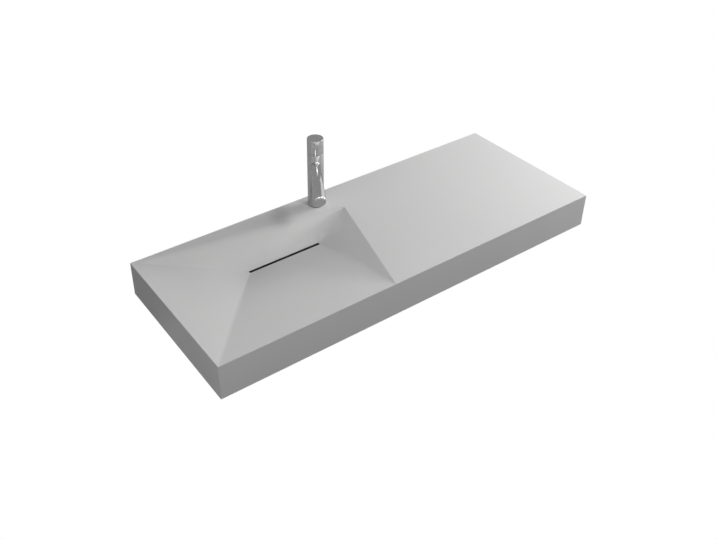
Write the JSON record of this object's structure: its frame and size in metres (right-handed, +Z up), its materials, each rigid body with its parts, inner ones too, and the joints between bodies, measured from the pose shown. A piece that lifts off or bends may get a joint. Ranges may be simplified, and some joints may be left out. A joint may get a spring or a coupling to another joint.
{
  "type": "wall-hung hand basin",
  "caption": "Wall-hung slab basin in matt white solid surface, with a folded, sloping bowl, a slot drain, a flat deck and a round pillar mixer with a turning cap handle.",
  "frame": {"origin": "middle of the four wall fixings, on the wall's face", "axes": "+X along the wall to the right, +Y into the wall, +Z up; the front of the basin faces -Y"},
  "size_m": [1.2, 0.46, 0.376],
  "materials": {
    "slab": "matt, honed solid surface",
    "chrome": "polished chrome plate on brass",
    "steel": "zinc-plated steel",
    "brass": "turned brass",
    "rubber": "black rubber",
    "white_plastic": "moulded plastic"
  },
  "bodies": {
    "basin": {"top_panel": "slab", "front_apron": "slab", "left_apron": "slab", "right_apron": "slab", "rear_rail": "slab", "left_rib": "slab", "middle_rib": "slab", "right_rib": "slab", "drain_trough": "slab", "waste_body": "chrome", "waste_top_seal": "rubber", "waste_cone_seal": "rubber", "waste_slip_washer": "white_plastic", "waste_backnut": "brass", "left_bracket": "steel", "right_bracket": "steel", "rib_inserts": "brass", "bracket_screws": "steel", "bracket_washers": "steel", "mixer_column": "chrome", "spout": "chrome", "hot_bush": "brass", "cold_bush": "brass", "base_gasket": "rubber", "cartridge": "white_plastic", "cartridge_nut": "brass", "aerator_housing": "chrome", "aerator_insert": "white_plastic", "mounting_stud": "brass", "rubber_horseshoe": "rubber", "steel_horseshoe": "steel", "stud_nut": "brass"},
    "handle": {"handle_cap": "chrome", "handle_screw": "steel", "cartridge_stem": "brass"}
  },
  "joints": [
    {"name": "handle_turn", "type": "hinge", "parent": "basin", "child": "handle", "pos_m": [-0.056, -0.046, 0.225], "axis": [0, 0, 1], "range_deg": [0, 110]}
  ]
}
